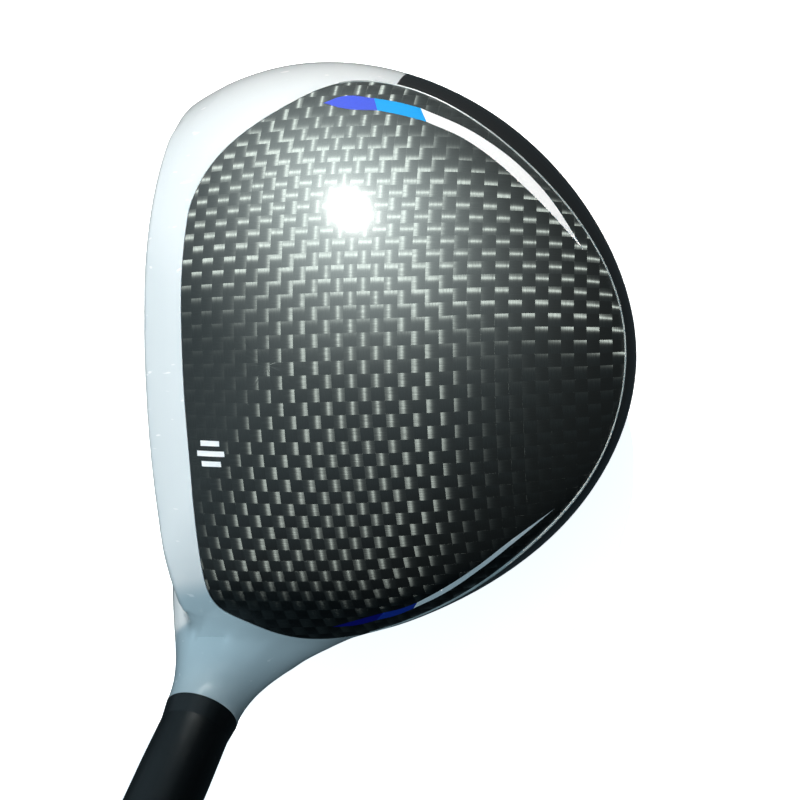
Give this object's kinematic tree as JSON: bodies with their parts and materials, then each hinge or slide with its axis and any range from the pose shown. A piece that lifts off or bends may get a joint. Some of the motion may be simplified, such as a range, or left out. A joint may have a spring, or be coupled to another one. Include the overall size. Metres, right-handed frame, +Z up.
{
  "type": "golf driver",
  "caption": "Golf driver with a hollow titanium head, woven carbon crown, adjustable hosel sleeve, graphite shaft and rubber grip, standing at address.",
  "frame": {"origin": "on the flat rest patch under the sole, in line with the shaft line from front to back", "axes": "+Z up at address, +X towards the heel and the golfer's side (the shaft leans that way), -Y towards the target through the face, +Y to the rear of the head"},
  "size_m": [0.7245, 0.1042, 0.9879],
  "materials": {
    "head_paint": "gloss white and black paint over cast titanium",
    "face_titanium": "dark physical-vapour-coated titanium, brushed",
    "carbon_weave": "clear-coated plain-weave carbon laminate",
    "carbon_sole": "clear-coated carbon laminate",
    "adhesive": "epoxy",
    "slot_rubber": "moulded urethane",
    "screw_steel": "machined steel",
    "sleeve_anodised": "black anodised aluminium",
    "ferrule_plastic": "turned black plastic",
    "shaft_graphite": "painted and clear-coated graphite",
    "tape": "double-sided paper tape",
    "grip_rubber": "moulded rubber",
    "weight_tungsten": "sintered tungsten alloy, turned"
  },
  "bodies": {
    "shaft_assembly": {"shaft": "shaft_graphite", "loft_sleeve": "sleeve_anodised", "ferrule": "ferrule_plastic", "tip_bond": "adhesive", "tip_plug": "ferrule_plastic", "grip_tape": "tape", "grip": "grip_rubber"},
    "head": {"head_body": "head_paint", "face_plate": "face_titanium", "crown_panel": "carbon_weave", "crown_bond": "adhesive", "sole_panel_toe": "carbon_sole", "sole_panel_heel": "carbon_sole", "sole_bond_toe": "adhesive", "sole_bond_heel": "adhesive", "slot_filler": "slot_rubber", "port_plug": "screw_steel", "bolt_retainer": "screw_steel"},
    "washer": {"bolt_washer": "screw_steel"},
    "bolt": {"hosel_bolt": "screw_steel"},
    "weight": {"rear_weight": "weight_tungsten"},
    "weight_fastener": {"weight_screw": "screw_steel"}
  },
  "joints": [
    {"name": "head_release", "type": "slide", "parent": "shaft_assembly", "child": "head", "axis": [-0.5299, 0, -0.848], "range_m": [0, 0.04]},
    {"name": "bolt_back_out", "type": "slide", "parent": "head", "child": "washer", "axis": [-0.5299, 0, -0.848], "range_m": [0, 0.009]},
    {"name": "bolt_turn", "type": "hinge", "parent": "washer", "child": "bolt", "pos_m": [0.0446, 0, 0.01696], "axis": [-0.5299, 0, -0.848], "range_deg": [0, 4051]},
    {"name": "weight_back_out", "type": "slide", "parent": "head", "child": "weight", "axis": [0, 0.5388, -0.8425], "range_m": [0, 0.008]},
    {"name": "weight_screw_turn", "type": "hinge", "parent": "weight", "child": "weight_fastener", "pos_m": [0, 0.074, 0.013], "axis": [0, 0.5388, -0.8425], "range_deg": [0, 2881]}
  ],
  "couplings": [
    {"joint": "bolt_turn", "follows": "bolt_back_out", "rad_per_m": 7854},
    {"joint": "weight_screw_turn", "follows": "weight_back_out", "rad_per_m": 6283.2}
  ]
}
